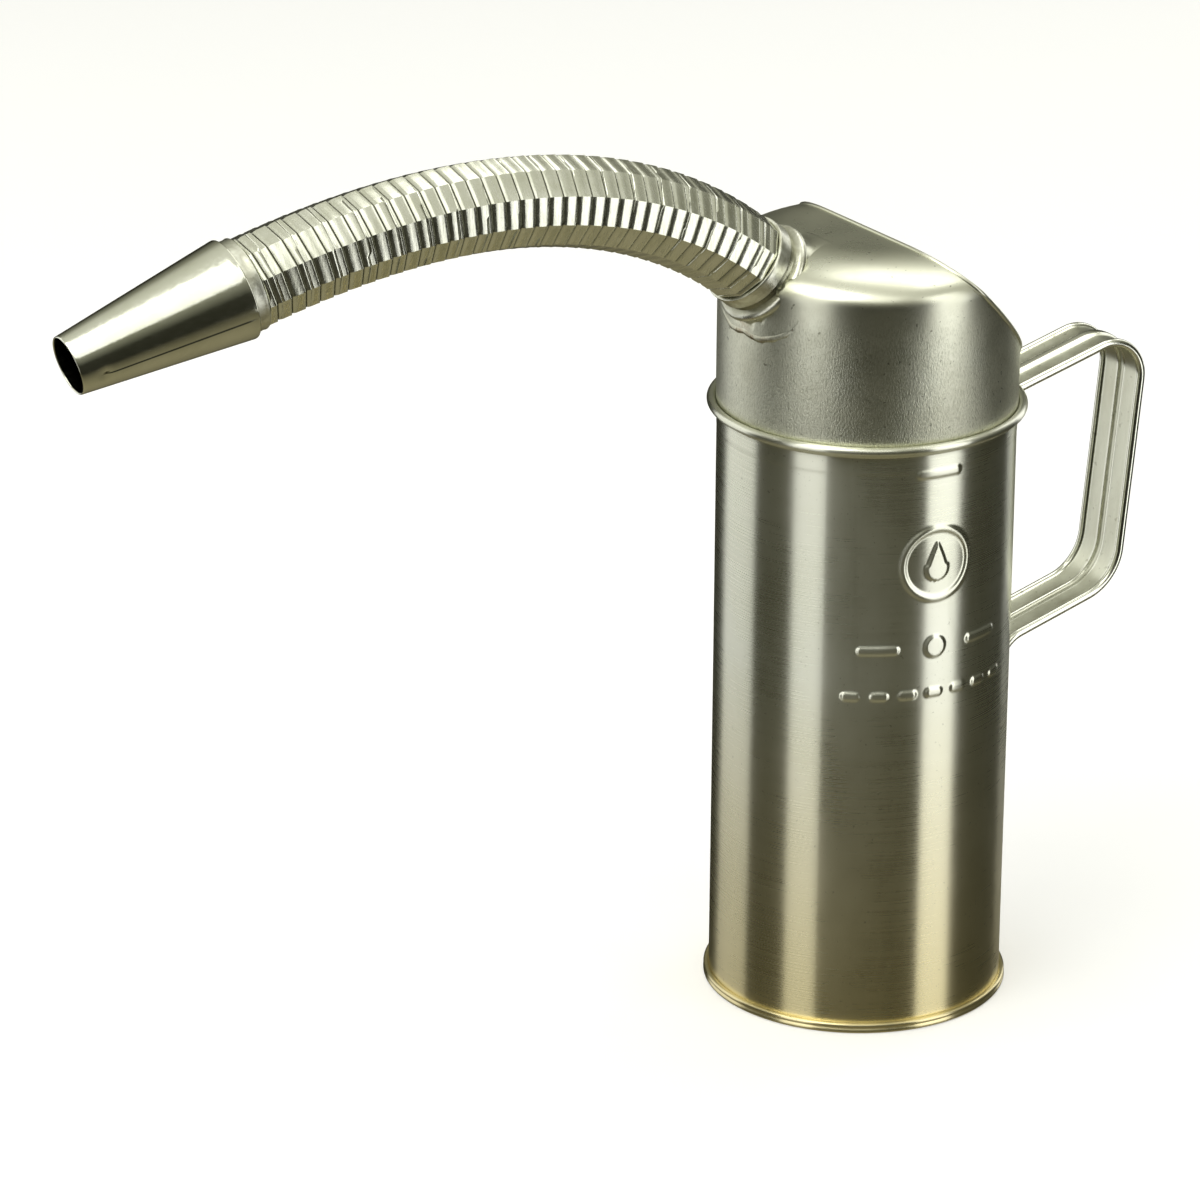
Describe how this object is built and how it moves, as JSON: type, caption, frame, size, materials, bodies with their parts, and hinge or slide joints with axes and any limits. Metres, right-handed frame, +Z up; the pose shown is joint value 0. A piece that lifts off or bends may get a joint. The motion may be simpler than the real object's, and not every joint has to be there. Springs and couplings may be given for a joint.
{
  "type": "motor oil can",
  "caption": "Tinplate measuring can with a hood open at the back for filling, a bendable wound-metal hose spout ending in a cone, and a strap handle.",
  "frame": {"origin": "centre of the round base on the plane it rests on", "axes": "+Z up along the can's axis, the hose spout points towards -X, the handle is on +X"},
  "size_m": [0.3481, 0.0918, 0.2719],
  "materials": {
    "tin_body": "bright tinplate, fine lengthwise polish lines",
    "tin_base": "bright tinplate",
    "tin_hood": "tinplate, fine orange-peel grain",
    "tin_neck": "tinned, slightly dull",
    "hose_strip": "bright wound strip",
    "tin_nozzle": "bright tinplate",
    "tin_handle": "bright tinplate",
    "solder": "dull soft solder",
    "steel_wire": "bare wire"
  },
  "bodies": {
    "can": {"body_shell": "tin_body", "base_disc": "tin_base", "base_solder": "solder", "rim_wire": "steel_wire", "hood_shell": "tin_hood", "hood_solder": "solder", "neck_collar": "tin_neck", "neck_ring": "tin_neck", "neck_solder": "solder", "handle_strap": "tin_handle", "handle_solder_lower": "solder", "handle_solder_upper": "solder"},
    "link_01": {"hose_link_01": "hose_strip"},
    "link_02": {"hose_link_02": "hose_strip"},
    "link_03": {"hose_link_03": "hose_strip"},
    "link_04": {"hose_link_04": "hose_strip"},
    "link_05": {"hose_link_05": "hose_strip"},
    "link_06": {"hose_link_06": "hose_strip"},
    "link_07": {"hose_link_07": "hose_strip"},
    "link_08": {"hose_link_08": "hose_strip"},
    "link_09": {"hose_link_09": "hose_strip"},
    "link_10": {"hose_link_10": "hose_strip"},
    "link_11": {"hose_link_11": "hose_strip"},
    "link_12": {"hose_link_12": "hose_strip"},
    "link_13": {"hose_link_13": "hose_strip"},
    "link_14": {"hose_link_14": "hose_strip"},
    "link_15": {"hose_link_15": "hose_strip"},
    "link_16": {"hose_link_16": "hose_strip"},
    "link_17": {"hose_link_17": "hose_strip"},
    "link_18": {"hose_link_18": "hose_strip", "nozzle_ring": "tin_neck", "nozzle_cone": "tin_nozzle", "nozzle_solder": "solder"}
  },
  "joints": [
    {"name": "hose_bend", "type": "hinge", "parent": "can", "child": "link_01", "pos_m": [-0.0443, 0, 0.23], "axis": [-0.0023, -1, 0], "range_deg": [-6.2, 3]},
    {"name": "hose_sway", "type": "hinge", "parent": "link_01", "child": "link_02", "pos_m": [-0.0516, 0.00002, 0.23544], "axis": [0.5333, -0.0036, 0.8459], "range_deg": [-5, 5]},
    {"name": "hose_bend_02", "type": "hinge", "parent": "link_02", "child": "link_03", "pos_m": [-0.05931, 0.00007, 0.2403], "axis": [-0.0114, -0.9999, 0], "range_deg": [-6.2, 3]},
    {"name": "hose_sway_02", "type": "hinge", "parent": "link_03", "child": "link_04", "pos_m": [-0.06736, 0.00016, 0.24457], "axis": [0.4035, -0.0064, 0.9149], "range_deg": [-5, 5]},
    {"name": "hose_bend_03", "type": "hinge", "parent": "link_04", "child": "link_05", "pos_m": [-0.0757, 0.00029, 0.24825], "axis": [-0.0205, -0.9998, 0], "range_deg": [-6.2, 3]},
    {"name": "hose_sway_03", "type": "hinge", "parent": "link_05", "child": "link_06", "pos_m": [-0.08427, 0.00047, 0.25134], "axis": [0.2767, -0.0069, 0.9609], "range_deg": [-5, 5]},
    {"name": "hose_bend_04", "type": "hinge", "parent": "link_06", "child": "link_07", "pos_m": [-0.09302, 0.00069, 0.25386], "axis": [-0.0296, -0.9996, 0], "range_deg": [-6.2, 3]},
    {"name": "hose_sway_04", "type": "hinge", "parent": "link_07", "child": "link_08", "pos_m": [-0.10191, 0.00095, 0.25583], "axis": [0.1568, -0.0054, 0.9876], "range_deg": [-5, 5]},
    {"name": "hose_bend_05", "type": "hinge", "parent": "link_08", "child": "link_09", "pos_m": [-0.1109, 0.00126, 0.25726], "axis": [-0.0387, -0.9992, 0], "range_deg": [-6.2, 3]},
    {"name": "hose_sway_05", "type": "hinge", "parent": "link_09", "child": "link_10", "pos_m": [-0.11996, 0.00161, 0.25817], "axis": [0.0466, -0.002, 0.9989], "range_deg": [-5, 5]},
    {"name": "hose_bend_06", "type": "hinge", "parent": "link_10", "child": "link_11", "pos_m": [-0.12905, 0.002, 0.2586], "axis": [-0.0478, -0.9989, 0], "range_deg": [-6.2, 3]},
    {"name": "hose_sway_06", "type": "hinge", "parent": "link_11", "child": "link_12", "pos_m": [-0.13816, 0.00244, 0.25856], "axis": [-0.052, 0.0027, 0.9986], "range_deg": [-5, 5]},
    {"name": "hose_bend_07", "type": "hinge", "parent": "link_12", "child": "link_13", "pos_m": [-0.14724, 0.00292, 0.25809], "axis": [-0.0569, -0.9984, 0], "range_deg": [-6.2, 3]},
    {"name": "hose_sway_07", "type": "hinge", "parent": "link_13", "child": "link_14", "pos_m": [-0.15629, 0.00343, 0.2572], "axis": [-0.1381, 0.0085, 0.9904], "range_deg": [-5, 5]},
    {"name": "hose_bend_08", "type": "hinge", "parent": "link_14", "child": "link_15", "pos_m": [-0.1653, 0.00399, 0.25594], "axis": [-0.066, -0.9978, 0], "range_deg": [-6.2, 3]},
    {"name": "hose_sway_08", "type": "hinge", "parent": "link_15", "child": "link_16", "pos_m": [-0.17425, 0.00458, 0.25433], "axis": [-0.2113, 0.0149, 0.9773], "range_deg": [-5, 5]},
    {"name": "hose_bend_09", "type": "hinge", "parent": "link_16", "child": "link_17", "pos_m": [-0.18313, 0.00521, 0.2524], "axis": [-0.0751, -0.9972, 0], "range_deg": [-6.2, 3]},
    {"name": "hose_sway_09", "type": "hinge", "parent": "link_17", "child": "link_18", "pos_m": [-0.19194, 0.00587, 0.25018], "axis": [-0.2716, 0.0217, 0.9622], "range_deg": [-5, 5]}
  ],
  "couplings": [
    {"joint": "hose_bend_02", "follows": "hose_bend", "ratio": 1},
    {"joint": "hose_sway_02", "follows": "hose_sway", "ratio": 1},
    {"joint": "hose_bend_03", "follows": "hose_bend", "ratio": 1},
    {"joint": "hose_sway_03", "follows": "hose_sway", "ratio": 1},
    {"joint": "hose_bend_04", "follows": "hose_bend", "ratio": 1},
    {"joint": "hose_sway_04", "follows": "hose_sway", "ratio": 1},
    {"joint": "hose_bend_05", "follows": "hose_bend", "ratio": 1},
    {"joint": "hose_sway_05", "follows": "hose_sway", "ratio": 1},
    {"joint": "hose_bend_06", "follows": "hose_bend", "ratio": 1},
    {"joint": "hose_sway_06", "follows": "hose_sway", "ratio": 1},
    {"joint": "hose_bend_07", "follows": "hose_bend", "ratio": 1},
    {"joint": "hose_sway_07", "follows": "hose_sway", "ratio": 1},
    {"joint": "hose_bend_08", "follows": "hose_bend", "ratio": 1},
    {"joint": "hose_sway_08", "follows": "hose_sway", "ratio": 1},
    {"joint": "hose_bend_09", "follows": "hose_bend", "ratio": 1},
    {"joint": "hose_sway_09", "follows": "hose_sway", "ratio": 1}
  ]
}
